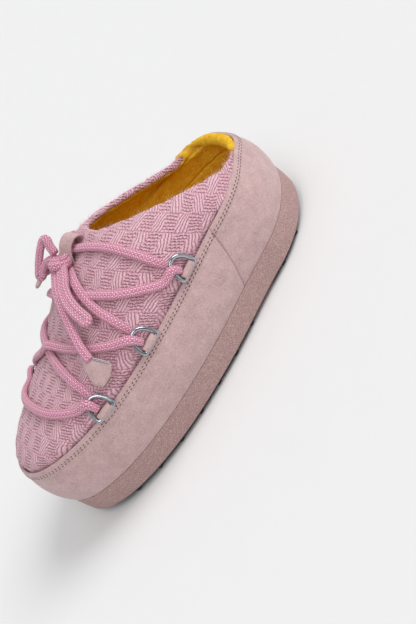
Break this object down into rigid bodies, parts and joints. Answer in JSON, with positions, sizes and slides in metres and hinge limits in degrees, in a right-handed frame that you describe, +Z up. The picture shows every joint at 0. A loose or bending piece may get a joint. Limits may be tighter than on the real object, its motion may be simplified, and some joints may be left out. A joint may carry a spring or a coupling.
{
  "type": "knit mule",
  "caption": "Slip-on platform mule with a low heel, a chunky knit upper, suede rand and heel counter, cord lacing through D-rings and a studded rubber outsole.",
  "frame": {"origin": "centre of the footprint on the floor plane under the studs, halfway along and across the shoe without its free lace ends", "axes": "+X from heel to toe, +Y to the wearer's left (the side that the picture shows), +Z up"},
  "size_m": [0.2842, 0.1336, 0.1397],
  "materials": {
    "rubber": "matt, moulded",
    "crepe": "rough, finely speckled foam",
    "lining": "mustard fleece",
    "knit": "chunky basket knit in pink wool",
    "suede": "fine nap",
    "steel": "polished, nickel plated",
    "lace": "braided cord"
  },
  "bodies": {
    "root": {"outsole": "rubber", "midsole": "crepe", "insole": "lining", "upper": "knit", "rand": "suede", "counter": "suede", "d_ring_left_1": "steel", "d_ring_right_1": "steel", "d_ring_left_2": "steel", "d_ring_right_2": "steel", "d_ring_left_3": "steel", "d_ring_right_3": "steel", "ring_tab_left_1": "suede", "ring_tab_right_1": "suede", "ring_tab_left_2": "suede", "ring_tab_right_2": "suede", "ring_tab_left_3": "suede", "ring_tab_right_3": "suede", "pull_loop": "suede", "lace_top_bar": "lace", "lace_toe_bar": "lace", "lace_upper_cross": "lace", "lace_lower_cross": "lace", "lace_knot": "lace", "lace_loop_far": "lace", "lace_loop_near": "lace", "lace_end_near": "lace", "lace_end_far": "lace", "lace_tip_near": "suede", "lace_tip_far": "suede"}
  },
  "joints": []
}
